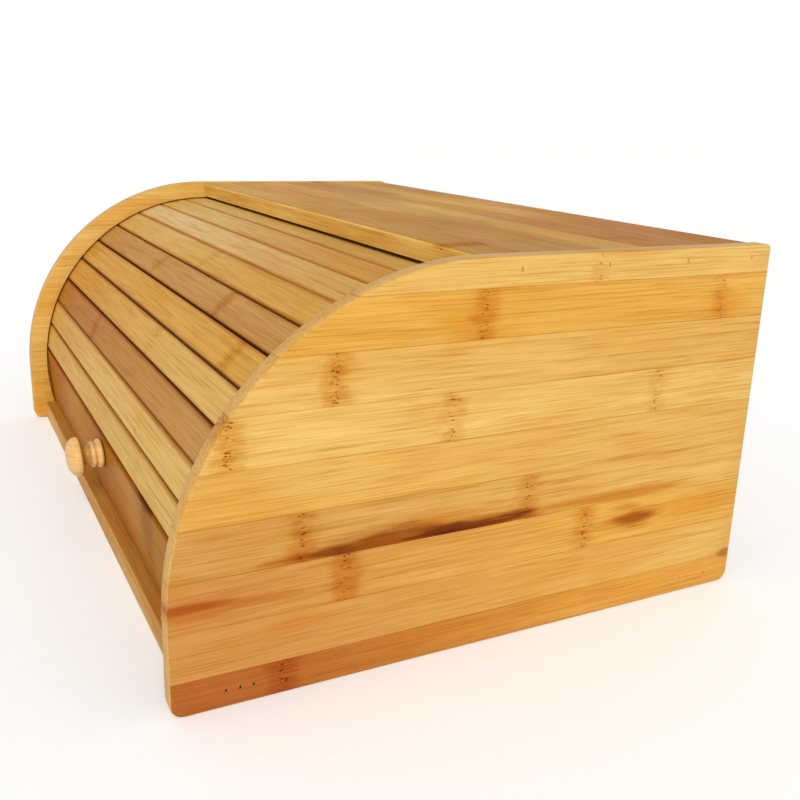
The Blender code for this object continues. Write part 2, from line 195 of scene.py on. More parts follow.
# The screen colours that bamboo takes, from its smoked browns to its palest parts
TONES = {
    "russet": (148, 82, 32), "cocoa": (155, 108, 54), "chestnut": (157, 98, 34), "caramel": (168, 113, 46),
    "rose": (171, 119, 60), "tan": (172, 127, 66), "amber": (184, 132, 54), "gold": (188, 142, 62),
    "honey": (187, 145, 73), "khaki": (190, 150, 82), "straw": (191, 154, 84), "flax": (195, 162, 92),
    "cream": (199, 167, 114), "pale_gold": (216, 182, 112),
}

# Multiplying a colour by one of these changes it the way bamboo does, more in blue than in red
FIBRE = (0.78, 0.62, 0.40, 1.0)
WARMTH = (0.96, 0.82, 0.58, 1.0)
PALENESS = (1.07, 1.13, 1.28, 1.0)
NODE_BROWN = (0.76, 0.52, 0.22, 1.0)
RING_HALO = (0.86, 0.66, 0.36, 1.0)
PIT_BROWN = (0.34, 0.18, 0.07, 1.0)
# Painted shade, not the wood's colour: it browns the gaps between the door's strips, their ends and the
# knob's neck
PAINTED_SHADE = (0.72, 0.50, 0.25, 1.0)

# From one strip to the next, the noises' seed and the shift of the grain change by these
STRIP_SEED = 3.71
STRIP_SHIFT = 5.3

# Layers of grain: changes per metre along and across it, octaves, roughness, shift
GRAIN = {
    "drift": (9, 60, 1, 0.5, 0.0),
    "clouds": (11, 62, 2, 0.55, 0.0),
    "bands": (5, 230, 2, 0.6, 0.0),
    "fibres": (20, 930, 1, 0.6, 0.0),
    "hairs": (38, 2000, 1, 0.6, 0.0),
    "strokes": (34, 1300, 1, 0.5, 9.0),
    "wobble": (40, 150, 2, 0.6, 0.0),
    "whiskers": (170, 820, 2, 0.6, 0.0),
    "blots": (120, 170, 2, 0.5, 0.0),
}

# What each layer does to the colour: where its effect starts and where it is full, how strong, and its colour
GRAIN_SHADES = (
    ("clouds", 0.50, 0.74, 0.55, WARMTH),
    ("clouds", 0.48, 0.26, 0.65, PALENESS),
    ("mottle", 0.50, 0.72, 0.60, WARMTH),
    ("mottle", 0.48, 0.28, 0.50, PALENESS),
    ("bands", 0.50, 0.70, 0.20, FIBRE),
    ("bands", 0.46, 0.28, 0.35, PALENESS),
    ("fibres", 0.50, 0.68, 0.48, FIBRE),
    ("fibres", 0.48, 0.30, 0.52, PALENESS),
    ("hairs", 0.50, 0.68, 0.52, FIBRE),
    ("hairs", 0.47, 0.30, 0.40, PALENESS),
    ("strokes", 0.665, 0.73, 0.60, NODE_BROWN),
)

# How far from a growth ring its dark line and its soft surroundings reach, and the shape of a stain's outline
RING_CLOSE = 0.0026
RING_WIDE = 0.0130
TAPER_ALONG = 1.7
TAPER_ACROSS = 1.3


def tone(name):
    return linear(*TONES[name])


def stretch(graph, parts, scales):
    """A vector of coordinates, each multiplied by its own scale."""
    return graph.combine(*(graph.multiply(part, scale) for part, scale in zip(parts, scales)))


class Bamboo(Graph):
    """Bamboo strips glued edge to edge. Each step changes the colour or the height built up so far."""

    def __init__(self, name, axes, strips, pitch, first_seam, seed):
        super().__init__(name)
        parts = dict(zip("xyz", self.separate(self.coordinate("Object"))))
        self.along, self.across, self.through = (parts[letter] for letter in axes)
        self.face_axis = "xyz".index(axes[2])
        self.strips = strips
        self.pitch = pitch
        self.seam_height = self.subtract(self.across, first_seam)
        self.index = self.math("FLOOR", self.multiply(self.seam_height, 1 / pitch))
        self.seed = seed
        self.strip_seed = self.add(self.multiply(self.index, STRIP_SEED), seed)
        self.drift = self.grain("drift")
        self.bands = self.grain("bands")
        self.fibres = self.grain("fibres")
        self.colour = None
        self.height = None

    def drawn_out(self, scale_along, scale_across, shift=0.0):
        """Places for a noise that is drawn out along the grain and starts anew in each strip."""
        strip_shift = self.add(self.multiply(self.index, STRIP_SHIFT), shift)
        moved = self.add(self.multiply(self.along, scale_along), strip_shift)
        return self.combine(moved, self.multiply(self.across, scale_across),
                            self.multiply(self.through, scale_across))

    def grain(self, layer):
        scale_along, scale_across, octaves, roughness, shift = GRAIN[layer]
        place = self.drawn_out(scale_along, scale_across, shift)
        return self.noise(place, self.strip_seed, octaves, roughness)

    def uneven(self, noise, reach):
        """A noise brought from 0 to 1 to between minus half the reach and plus half of it."""
        return self.multiply(self.subtract(noise, 0.5), reach)

    def shade(self, amount, factor):
        self.colour = self.shaded(self.colour, amount, factor)

    def strip_tones(self, end):
        """The tone of each strip at its low end (0) or high end (1)."""
        if len(self.strips) == 1:
            return tone(self.strips[0][end])
        count = len(self.strips)
        stops = [(number / count, tone(pair[end])) for number, pair in enumerate(self.strips)]
        return self.steps(self.multiply(self.add(self.index, 1.5), 1 / count), stops)

    def lay_strips(self, ends, rim):
        """The strips' tones, on the right panel's lower front partly painted shade, and that of the faces
        which aren't seen flat on.
        """
        progress = self.add(self.along, self.uneven(self.drift, 0.06))
        self.colour = self.mix(self.smooth(progress, *ends), self.strip_tones(0), self.strip_tones(1))
        if rim:
            facing = self.separate(self.coordinate("Normal"))[self.face_axis]
            flat = self.smooth(self.math("ABSOLUTE", facing), 0.5, 0.85)
            self.colour = self.mix(flat, tone(rim), self.colour)

    def add_grain(self):
        """Clouds, fibres and hairs, with a mottle where several strips make a board."""
        layers = {"bands": self.bands, "fibres": self.fibres}
        for layer in ("clouds", "hairs", "strokes"):
            layers[layer] = self.grain(layer)
        if len(self.strips) > 1:
            place = stretch(self, (self.along, self.across, self.through), (17, 42, 42))
            layers["mottle"] = self.noise(place, self.add(self.seed, 9.0), 3, 0.55, 0.6)
        for layer, low, high, strength, factor in GRAIN_SHADES:
            if layer in layers:
                self.shade(self.smooth(layers[layer], low, high, 0, strength), factor)
        self.height = self.add(self.multiply(self.fibres, -0.6), self.multiply(layers["hairs"], -0.4))

    def ring_nearness(self, rings):
        """How near a growth ring is, weighted by its strength: (close up, its soft surroundings)."""
        place = self.add(self.along, self.uneven(self.grain("wobble"), 0.007))
        close, wide = 0.0, 0.0
        for ring_along, ring_across, strength in rings:
            gap = self.math("ABSOLUTE", self.subtract(place, ring_along))
            aside = self.math("ABSOLUTE", self.subtract(self.across, ring_across))
            weight = self.multiply(self.math("LESS_THAN", aside, self.pitch / 2), strength)
            close = self.math("MAXIMUM", close, self.multiply(self.smooth(gap, RING_CLOSE, 0.0006), weight))
            wide = self.math("MAXIMUM", wide, self.multiply(self.smooth(gap, RING_WIDE, 0.0010), weight))
        return close, wide

    def add_rings(self, rings, pitting):
        """Growth rings: a soft brown band, whiskers along the grain, and pits on its line."""
        close, wide = self.ring_nearness(rings)
        eroded = self.add(wide, self.uneven(self.grain("blots"), 1.3))
        self.shade(self.multiply(self.smooth(eroded, 0.20, 0.95), wide), RING_HALO)
        near = self.math("MAXIMUM", close, self.multiply(wide, 0.7))
        whiskers = self.grain("whiskers")
        self.shade(self.multiply(near, self.smooth(whiskers, 0.48, 0.64, 0, 0.8)), NODE_BROWN)
        self.shade(self.multiply(close, self.smooth(whiskers, 0.46, 0.30, 0, 0.8)), PALENESS)
        dots = self.smooth(self.cells(self.drawn_out(380, 900)), 0.40, 0.18)
        pits = self.multiply(self.multiply(close, pitting), dots)
        self.shade(pits, PIT_BROWN)
        self.height = self.subtract(self.height, self.multiply(pits, 2.5))

    def add_stains(self, stains):
        """Smears that taper along the grain. One with a floor stops dead at that height."""
        ragged = self.uneven(self.noise(self.drawn_out(34, 300), 5.0, 3, 0.6), 1.7)
        for place, size, floor, factor, strength in stains:
            far_along = self.multiply(self.subtract(self.along, place[0]), 1 / size[0])
            far_across = self.multiply(self.subtract(self.across, place[1]), 1 / size[1])
            reach = self.add(self.math("POWER", self.math("ABSOLUTE", far_along), TAPER_ALONG),
                             self.math("POWER", self.math("ABSOLUTE", far_across), TAPER_ACROSS))
            amount = self.smooth(self.add(reach, ragged), 1.35, 0.10)
            if floor is not None:
                amount = self.multiply(amount, self.math("GREATER_THAN", self.across, floor))
            self.shade(self.multiply(amount, strength), (*factor, 1.0))

    def add_seams(self):
        """Thin, patchy glue lines between the strips."""
        seam = self.math("PINGPONG", self.seam_height, self.pitch / 2)
        patchy = self.smooth(self.drift, 0.35, 0.60, 0.25, 0.9)
        line = self.multiply(self.smooth(seam, 0.00035, 0.00012), patchy)
        self.shade(line, FIBRE)
        self.height = self.subtract(self.height, self.multiply(line, 0.8))

    def add_edge_shade(self, half_length, half_width):
        """Painted shade along a slat's long edges, in the gaps between the strips, and at its ends beside the
        side panels.
        """
        ragged = self.uneven(self.bands, 0.0020)
        aside = self.add(self.math("ABSOLUTE", self.across), ragged)
        # Painted shade in the gaps along the long edges, then at the ends beside the side panels
        self.shade(self.smooth(aside, half_width - 0.0018, half_width + 0.0002), PAINTED_SHADE)
        ending = self.add(self.math("ABSOLUTE", self.along), self.multiply(ragged, 5.0))
        self.shade(self.smooth(ending, half_length - 0.014, half_length + 0.001, 0, 0.8), PAINTED_SHADE)

    def varnish(self, sheen):
        """Satin, uneven in gloss, and thin enough to show the fibres' relief."""
        wear = self.noise(self.drawn_out(14, 40, 3.0), self.seed + 4.0, 3, 0.6)
        satin = self.add(self.smooth(wear, 0.3, 0.7, 0.36, 0.50), self.multiply(self.fibres, 0.10))
        self.put(self.shader.inputs["Base Color"], self.colour)
        self.put(self.shader.inputs["Roughness"], satin)
        self.put(self.shader.inputs["Normal"], self.bump(self.height, 0.00012, 0.6))
        self.shader.inputs["Specular IOR Level"].default_value = sheen
        self.shader.inputs["Specular Tint"].default_value = (1.0, 0.80, 0.50, 1.0)


def bamboo(name, axes, strips, pitch, first_seam, ends, seed, rings=(), stains=(), rim=None, edge_shade=None,
           sheen=0.2, pitting=1.0):
    """The material of a board or slat.

    axes are the letters of the directions along the grain, across it and through the board. strips are pairs
    of tones, at the low and high end of the grain, from the lowest strip up. The first strip lies below
    first_seam and the others are pitch wide. ends are where the grain starts and stops. rim is the tone of
    the faces that aren't seen flat on. Rings are (along, across, strength), and stains are (place, size,
    floor, factor, strength). edge_shade is the half length and half width of a slat that gets painted shade
    at its edges and ends, sheen is how strongly the varnish shines, and pitting says how deep the growth
    rings' pits are.
    """
    wood = Bamboo(name, axes, strips, pitch, first_seam, seed)
    wood.lay_strips(ends, rim)
    wood.add_grain()
    if rings:
        wood.add_rings(rings, pitting)
    if stains:
        wood.add_stains(stains)
    if len(strips) > 1:
        wood.add_seams()
    if edge_shade:
        wood.add_edge_shade(*edge_shade)
    wood.varnish(sheen)
    return wood.material


def dress(name, material):
    """Gives a CAD node its material."""
    mesh = nodes[name].data
    mesh.materials.clear()
    mesh.materials.append(material)


# ---------------------------------------------------------------- rounder shading

# Points nearer than this are one, and edges sharper than this angle stay crisp
DOUBLED = 1e-6
CRISP = math.radians(40)


def make_smoothing():
    """A modifier tree that joins doubled points and shades all but the sharp edges smooth."""
    group = bpy.data.node_groups.new("smooth_round_faces", "GeometryNodeTree")
    group.interface.new_socket("Geometry", in_out="INPUT", socket_type="NodeSocketGeometry")
    group.interface.new_socket("Geometry", in_out="OUTPUT", socket_type="NodeSocketGeometry")
    start = group.nodes.new("NodeGroupInput")
    end = group.nodes.new("NodeGroupOutput")
    merge = group.nodes.new("GeometryNodeMergeByDistance")
    merge.inputs["Distance"].default_value = DOUBLED
    angle = group.nodes.new("GeometryNodeInputMeshEdgeAngle")
    sharp = group.nodes.new("FunctionNodeCompare")
    sharp.operation = "GREATER_THAN"
    sharp.inputs[1].default_value = CRISP
    normals = group.nodes.new("GeometryNodeSetMeshNormal")
    normals.mode = "SHARPNESS"
    normals.inputs["Remove Custom"].default_value = True
    link = group.links.new
    link(start.outputs[0], merge.inputs["Geometry"])
    link(merge.outputs["Geometry"], normals.inputs["Mesh"])
    link(angle.outputs["Unsigned Angle"], sharp.inputs[0])
    link(sharp.outputs[0], normals.inputs["Edge Sharpness"])
    link(normals.outputs["Mesh"], end.inputs[0])
    return group


def smooth_all(group):
    for thing in nodes.values():
        modifier = thing.modifiers.new("smooth_round_faces", "NODES")
        modifier.node_group = group


# ---------------------------------------------------------------- case

# The width of a side panel's strips, and the height of its lowest seam
STRIP = 0.0198
FIRST_SEAM = 0.0144

# Tones of the side panels' strips at the front and at the back, from the lowest strip up, and of their rims
# The right panel's lowest four strips are darker at the front partly as painted shade, where the light falls
# off
RIGHT_STRIPS = (
    ("russet", "amber"), ("rose", "honey"), ("rose", "gold"), ("tan", "honey"), ("honey", "honey"),
    ("straw", "straw"), ("straw", "honey"), ("gold", "gold"), ("honey", "straw"),
)
LEFT_STRIPS = (
    ("amber", "gold"), ("gold", "caramel"), ("honey", "amber"), ("straw", "honey"), ("gold", "straw"),
    ("honey", "gold"), ("straw", "honey"), ("honey", "amber"), ("straw", "gold"),
)
RIM = "khaki"

# Growth rings in the right panel: distance from its front edge, strip counted from the lowest, strength.
# The left panel has them upside down, and measured back from LEFT_RINGS_FROM.
SIDE_RINGS = (
    (0.0440, 0, 1.0), (0.0695, 2, 1.0), (0.1838, 2, 0.8), (0.0512, 3, 0.8), (0.1525, 3, 0.8),
    (0.0238, 5, 0.9), (0.1140, 5, 0.7), (0.2170, 5, 0.6), (0.0645, 6, 0.9), (0.1255, 7, 0.8),
    (0.2480, 7, 0.6), (0.1800, 8, 0.5),
)
LEFT_RINGS_FROM = 0.262

# Stain colours
SCORCH = (0.46, 0.27, 0.08)
BURNT = (0.58, 0.36, 0.13)
TOASTED = (0.80, 0.56, 0.24)
REDDENED = (0.84, 0.62, 0.40)
SHADOWED = (0.92, 0.76, 0.48)

# The side panels' stains, as in bamboo(), with distances from the front edge. The long dark mark stops dead
# at the seam between two strips.
MARK_SEAM = FIRST_SEAM + 2 * STRIP
RIGHT_STAINS = (
    ((0.104, MARK_SEAM + 0.0010), (0.064, 0.0110), MARK_SEAM, TOASTED, 1.0),
    ((0.088, MARK_SEAM + 0.0020), (0.038, 0.0062), MARK_SEAM, BURNT, 1.0),
    ((0.128, MARK_SEAM + 0.0014), (0.034, 0.0040), MARK_SEAM, BURNT, 1.0),
    ((0.122, MARK_SEAM + 0.0010), (0.030, 0.0030), MARK_SEAM, SCORCH, 1.0),
    ((0.0640, MARK_SEAM + 0.0018), (0.010, 0.0034), MARK_SEAM, SCORCH, 0.7),
    ((0.092, MARK_SEAM + 0.0044), (0.032, 0.0011), MARK_SEAM, SCORCH, 0.6),
    ((0.148, MARK_SEAM + 0.0030), (0.011, 0.0024), MARK_SEAM, BURNT, 1.0),
    ((0.047, MARK_SEAM + 0.0015), (0.014, 0.0035), MARK_SEAM, TOASTED, 0.9),
    ((0.198, MARK_SEAM + 0.0026), (0.056, 0.0028), MARK_SEAM, TOASTED, 1.0),
    ((0.2115, 0.0437), (0.0200, 0.0060), None, TOASTED, 1.0),
    ((0.2120, 0.0437), (0.0140, 0.0040), None, BURNT, 0.9),
    ((0.2060, 0.0505), (0.0100, 0.0022), None, TOASTED, 0.7),
    ((0.0100, 0.0425), (0.0420, 0.0060), None, REDDENED, 1.0),
    ((0.0040, 0.0440), (0.0240, 0.0022), None, (0.78, 0.54, 0.34), 1.0),
    ((0.2500, 0.0450), (0.0330, 0.0070), None, SHADOWED, 0.9),
    ((0.2715, 0.0150), (0.0060, 0.0028), None, BURNT, 0.9),
    ((0.1180, 0.1410), (0.0160, 0.0060), None, (0.94, 0.78, 0.50), 0.8),
    ((0.2500, 0.1400), (0.0170, 0.0080), None, (0.94, 0.76, 0.44), 0.8),
    ((0.0700, 0.0850), (0.0300, 0.0130), None, (1.03, 1.06, 1.10), 1.0),
)
LEFT_STAINS = (
    ((0.150, MARK_SEAM + 0.0450), (0.070, 0.0036), None, TOASTED, 0.9),
    ((0.070, 0.0270), (0.018, 0.0040), None, TOASTED, 0.9),
    ((0.230, 0.1200), (0.030, 0.0060), None, SHADOWED, 0.9),
)

# The top board's strips from the front to the back, its growth rings as (along, strip, strength), and its
# stains. The bottom board's strips go the same way, and the back panel's go from the bottom up.
TOP_STRIPS = (
    ("honey", "tan"), ("amber", "tan"), ("honey", "tan"), ("tan", "honey"), ("tan", "caramel"),
    ("honey", "caramel"), ("tan", "caramel"),
)
TOP_RINGS = ((0.160, 0, 0.9), (0.081, 3, 0.4), (-0.120, 1, 0.4), (0.158, 4, 0.5), (-0.060, 5, 0.4))
TOP_STAINS = (
    ((0.000, 0.0700), (0.400, 0.4000), None, (0.98, 0.94, 0.70), 1.0),
    ((0.000, 0.1050), (0.095, 0.0650), None, (1.20, 1.36, 1.48), 1.0),
    ((-0.049, 0.0400), (0.026, 0.0055), None, TOASTED, 0.6),
    ((0.018, 0.0190), (0.014, 0.0085), None, (0.88, 0.74, 0.50), 0.6),
    ((0.160, 0.0950), (0.016, 0.0090), None, (0.88, 0.70, 0.46), 0.6),
    ((-0.155, 0.0770), (0.022, 0.0110), None, (0.92, 0.80, 0.56), 0.6),
    ((-0.162, 0.1310), (0.018, 0.0060), None, (0.82, 0.72, 0.60), 0.6),
)
BOTTOM_STRIPS = (("caramel", "caramel"), ("chestnut", "caramel"), ("caramel", "chestnut")) * 4
BOTTOM_RINGS = ((-0.08, 0, 0.8), (0.11, 4, 0.8))
BACK_STRIPS = (
    ("honey", "tan"), ("amber", "honey"), ("straw", "honey"), ("tan", "amber"), ("honey", "honey"),
    ("amber", "straw"), ("honey", "tan"),
)
BACK_RINGS = ((-0.11, 1, 0.9), (0.07, 3, 0.8), (0.13, 5, 0.7), (-0.03, 4, 0.6))


def dress_side_panel(side, strips, seed, rings, stains):
    """A side panel, whose strips run front to back. Both panels span the same lengths and heights."""
    low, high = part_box("side_panel_right")
    ends = (low.y + 0.01, high.y - 0.05)
    placed_rings = [
        (low.y + along, FIRST_SEAM + (number - 0.5) * STRIP, strength) for along, number, strength in rings
    ]
    placed_stains = [((low.y + place[0], place[1]), *rest) for place, *rest in stains]
    material = bamboo(f"side_bamboo_{side}", "yzx", strips, STRIP, FIRST_SEAM, ends, seed, placed_rings,
                      placed_stains, RIM, sheen=0.12)
    dress(f"side_panel_{side}", material)


def dress_side_panels():
    highest = len(LEFT_STRIPS) - 1
    left_rings = [
        (LEFT_RINGS_FROM - along, highest - number, strength) for along, number, strength in SIDE_RINGS
    ]
    dress_side_panel("right", RIGHT_STRIPS, 2.0, SIDE_RINGS, RIGHT_STAINS)
    dress_side_panel("left", LEFT_STRIPS, 31.0, left_rings, LEFT_STAINS)


def dress_board(name, axes, strips, seed, rings, stains=(), rim=RIM, sheen=0.2):
    """A board whose strips run from left to right and follow each other along the second of the axes."""
    low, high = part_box(name)
    across = "xyz".index(axes[1])
    pitch = (high[across] - low[across]) / len(strips)
    placed = [(along, low[across] + (number + 0.5) * pitch, strength) for along, number, strength in rings]
    short_name = name.split("_")[0]
    material = bamboo(f"{short_name}_bamboo", axes, strips, pitch, low[across] + pitch, (low.x, high.x), seed,
                      placed, stains, rim, sheen=sheen)
    dress(name, material)


def dress_boards():
    dress_board("top_board", "xyz", TOP_STRIPS, 51.0, TOP_RINGS, TOP_STAINS, "pale_gold", sheen=0.03)
    dress_board("bottom_board", "xyz", BOTTOM_STRIPS, 67.0, BOTTOM_RINGS, sheen=0.05)
    dress_board("back_panel", "xzy", BACK_STRIPS, 83.0, BACK_RINGS)


# ---------------------------------------------------------------- door

# The tones of the bottom rail and then of each slat, at the left and right end
STRIP_TONES = (
    ("chestnut", "cocoa"), ("honey", "flax"), ("honey", "flax"), ("chestnut", "tan"), ("amber", "straw"),
    ("amber", "gold"), ("tan", "tan"), ("straw", "gold"), ("cream", "honey"), ("flax", "amber"),
    ("flax", "honey"), ("amber", "tan"), ("honey", "honey"),
)

# Growth rings on the door: slat number with 0 for the rail, place along it from the middle, strength
DOOR_RINGS = (
    (0, -0.146, 0.5), (1, 0.092, 0.5), (2, 0.077, 0.4), (2, -0.130, 0.3), (3, -0.062, 0.8), (4, 0.045, 0.5),
    (5, 0.137, 0.8), (6, -0.040, 0.6), (6, 0.085, 0.8), (7, 0.012, 0.5), (8, -0.010, 0.4), (9, -0.130, 0.4),
    (10, 0.060, 0.4), (11, -0.050, 0.7), (12, 0.020, 0.8),
)

# Smears and pale places on the rail, as in bamboo(), and some painted shade
RAIL_STAINS_AND_SHADE = (
    ((0.000, 0.0000), (0.900, 0.9000), None, (0.98, 0.92, 0.25), 1.0),
    # Darker along the lower part: partly the rail's own brown, partly painted shade where it faces down and
    # painted reflection of the bottom board
    ((0.000, -0.0190), (0.600, 0.0150), None, (0.94, 0.74, 0.26), 1.0),
    ((-0.072, 0.0040), (0.056, 0.0220), None, (1.16, 1.32, 1.15), 1.0),
    ((0.078, 0.0080), (0.030, 0.0180), None, (1.15, 1.12, 1.04), 0.9),
    # Darker round the knob: painted shadow of the knob
    ((0.010, 0.0000), (0.080, 0.0300), None, (1.00, 0.92, 0.62), 1.0),
    ((0.116, 0.0080), (0.014, 0.0220), None, (0.80, 0.72, 0.66), 1.0),
    ((0.112, 0.0185), (0.016, 0.0040), None, (0.55, 0.38, 0.24), 1.0),
)

# The browner strips, those that nearly touch the slat below, and how much nearer both edges there come
TIGHT_BELOW = (3, 8, 9, 10)
TIGHTER = 0.00035

# A strip's section: its rounded edges (lower front, upper front, and both at the back), and its crowned face
RAIL_LOW_ROUND = 0.0034
SLAT_LOW_ROUND = 0.0015
HIGH_ROUND = 0.0009
BACK_ROUND = 0.0003
CROWN = 0.00012

# Its ends: their rounding, and the rounding over which the section would thin and narrow to nothing
END_ROUND = 0.0004
END_THINNING = 0.0035
END_NARROWING = 0.008

# Its length: the columns of points along it, and how its face waves (radians per metre, depths, random seed)
STRIP_COLUMNS = 48
WAVES = 21
WAVE_DEPTHS = (0.00003, 0.00008)
WAVE_SEED = 7

# Edges sharper than this angle stay crisp on the strips, and on the knob
STRIP_CRISP = math.radians(50)
KNOB_CRISP = math.radians(55)

# The screw's hole in the rail and the knob, and the length of the drill that cuts it
SCREW_HOLE_RADIUS = 0.0019
DRILL_LENGTH = 0.03

# Each strip is one piece of bamboo, so its pitch is wider than any of them. The seeds make no two alike.
LONE_PITCH = 0.04
FIRST_SEED = 100
SEED_STEP = 7.3


def outward_at(turn):
    """Unit vector away from the door's centre line at an angle up from the front."""
    return Vector((0, -math.cos(turn), math.sin(turn)))


def slat_frame(name):
    """(angle, inner reach, outer reach, width) of a CAD slat, measured from the door's centre line."""
    points = [vertex.co - PIVOT for vertex in nodes[name].data.vertices]
    angles = [math.atan2(point.z, -point.y) for point in points]
    turn = (min(angles) + max(angles)) / 2
    reaches = [point.dot(outward_at(turn)) for point in points]
    asides = [point.dot(outward_at(turn + math.pi / 2)) for point in points]
    return turn, min(reaches), max(reaches), max(asides) - min(asides)


def corner(across, out, radius, quarter, steps):
    """Points round one corner of a slat's section. quarter counts right angles from +across towards +out."""
    points = []
    for step in range(steps + 1):
        angle = math.pi / 2 * (quarter + step / steps)
        points.append((across + radius * math.cos(angle), out + radius * math.sin(angle)))
    return points


def slat_section(low_half, high_half, thickness, low_round):
    """A slat's section from its upper outer corner, over its slightly crowned face, down and back round."""
    face = thickness - CROWN
    section = corner(high_half - HIGH_ROUND, face - HIGH_ROUND, HIGH_ROUND, 0, 6)
    for step in range(1, 8):
        share = step / 8
        across = (1 - share) * (high_half - HIGH_ROUND) - share * (low_half - low_round)
        section.append((across, face + CROWN * (1 - (2 * share - 1) ** 2)))
    section += corner(low_round - low_half, face - low_round, low_round, 1, 8)
    section += corner(BACK_ROUND - low_half, BACK_ROUND, BACK_ROUND, 2, 2)
    section += corner(high_half - BACK_ROUND, BACK_ROUND, BACK_ROUND, 3, 2)
    return section


def end_stations(length):
    """Places along a strip, as (x, how far the end's rounding has drawn its section in)."""
    stations = [(-length / 2, END_ROUND), (-length / 2 + END_ROUND, 0.0)]
    stations += [(length * (column / STRIP_COLUMNS - 0.5), 0.0) for column in range(1, STRIP_COLUMNS)]
    stations += [(length / 2 - END_ROUND, 0.0), (length / 2, END_ROUND)]
    return stations


def lofted(name, section, length, sway):
    """A long piece along X with a given section, whose face waves by sway, and rounded ends."""
    builder = bmesh.new()
    middle = sum(point[1] for point in section) / len(section)
    rings = []
    for x, inset in end_stations(length):
        thinner = 1 - inset / END_THINNING
        narrower = 1 - inset / END_NARROWING
        ring = []
        for across, out in section:
            lift = sway(x) * max(out - middle, 0) / middle
            ring.append(builder.verts.new((x, across * narrower, middle + (out - middle) * thinner + lift)))
        rings.append(ring)
    for first, second in zip(rings, rings[1:]):
        for step in range(len(section)):
            following = (step + 1) % len(section)
            builder.faces.new((first[step], first[following], second[following], second[step]))
    builder.faces.new(rings[0])
    builder.faces.new(rings[-1])
    bmesh.ops.recalc_face_normals(builder, faces=builder.faces)
    mesh = bpy.data.meshes.new(name)
    builder.to_mesh(mesh)
    builder.free()
    mesh.shade_smooth()
    mesh.set_sharp_from_angle(angle=STRIP_CRISP)
    return mesh


def bore_hole(thing, middle, axis, radius):
    """Cuts a round hole through a piece."""
    builder = bmesh.new()
    bmesh.ops.create_cone(builder, cap_ends=True, segments=32, radius1=radius, radius2=radius,
                          depth=DRILL_LENGTH)
    mesh = bpy.data.meshes.new("hole")
    builder.to_mesh(mesh)
    builder.free()
    drill = bpy.data.objects.new("hole", mesh)
    drill.matrix_world = Matrix.Translation(middle) @ axis.to_track_quat("Z", "Y").to_matrix().to_4x4()
    bpy.context.scene.collection.objects.link(drill)
    cut = thing.modifiers.new("hole", "BOOLEAN")
    cut.operation = "DIFFERENCE"
    cut.object = drill
    bpy.context.view_layer.update()
    pierced = bpy.data.meshes.new_from_object(thing.evaluated_get(bpy.context.evaluated_depsgraph_get()))
    thing.modifiers.clear()
    thing.data = pierced
    bpy.data.objects.remove(drill)


def strip_mesh(number, name, chance):
    """The shape of the rail (number 0) or of a slat, whose face waves a little."""
    _, inner, outer, width = slat_frame(name)
    low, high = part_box(name)
    phase, swing = chance.uniform(0, 6), chance.uniform(*WAVE_DEPTHS)

    def sway(x):
        return -swing * (1 + math.sin(x * WAVES + phase))

    low_half = width / 2 + (TIGHTER if number in TIGHT_BELOW else 0)
    high_half = width / 2 + (TIGHTER if number + 1 in TIGHT_BELOW else 0)
    section = slat_section(low_half, high_half, outer - inner, SLAT_LOW_ROUND if number else RAIL_LOW_ROUND)
    return lofted(f"shaped_{name}", section, high.x - low.x, sway)


def strip_material(number, name):
    """Bamboo of one tone, with its own growth rings, painted shade at its edges and ends, and stains and
    painted shade on the rail.
    """
    low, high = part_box(name)
    half_size = ((high.x - low.x) / 2, slat_frame(name)[3] / 2)
    rings = [(along, 0.0, strength) for owner, along, strength in DOOR_RINGS if owner == number]
    stains = () if number else RAIL_STAINS_AND_SHADE
    seed = FIRST_SEED + number * SEED_STEP
    return bamboo(f"door_bamboo_{number:02d}", "xyz", [STRIP_TONES[number]], LONE_PITCH, -LONE_PITCH / 2,
                  (low.x, high.x), seed, rings, stains, edge_shade=half_size, sheen=0.03, pitting=0.35)


def make_strip(number, name, chance):
    """The rail (number 0) or a slat, with soft edges, a crowned face and its own bamboo."""
    turn, inner, _, _ = slat_frame(name)
    strip = bpy.data.objects.new(f"shaped_{name}", strip_mesh(number, name, chance))
    bpy.context.scene.collection.objects.link(strip)
    strip.location = PIVOT + outward_at(turn) * inner
    strip.rotation_euler = (math.pi / 2 - turn, 0, 0)
    material = strip_material(number, name)
    if not number:
        bpy.context.view_layer.update()
        screw_low, screw_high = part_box("knob_screw")
        bore_hole(strip, (screw_low + screw_high) / 2, outward_at(turn), SCREW_HOLE_RADIUS)
    strip.data.materials.clear()
    strip.data.materials.append(material)
    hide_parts(name)
    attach(strip, "door")


def make_door_strips():
    chance = random.Random(WAVE_SEED)
    for number, name in enumerate(DOOR_STRIPS):
        make_strip(number, name, chance)


# ---------------------------------------------------------------- knob

# Radii of the knob's foot, neck and cap, of its two beads and of its cap's rim, and the depth of its bore
KNOB_BASE = 0.0078
KNOB_NECK = 0.0045
KNOB_CAP = 0.0105
LOW_BEAD = 0.0016
HIGH_BEAD = 0.0015
CAP_RIM = 0.0013
BORE_DEPTH = 0.0125

# The cap's dome: the height it starts at, its rings of points, and how full it is (1 is an ellipse)
DOME_BASE = 0.0130
DOME_STEPS = 22
DOME_FULLNESS = 0.86

# How much the knob is shorter than its CAD solid, which keeps its tilted cap inside the CAD box
KNOB_SHORTER = 0.0007
KNOB_SEGMENTS = 96

# The middle of the knob's neck, darkened with painted shade under the cap
NECK_HEIGHT = 0.0090


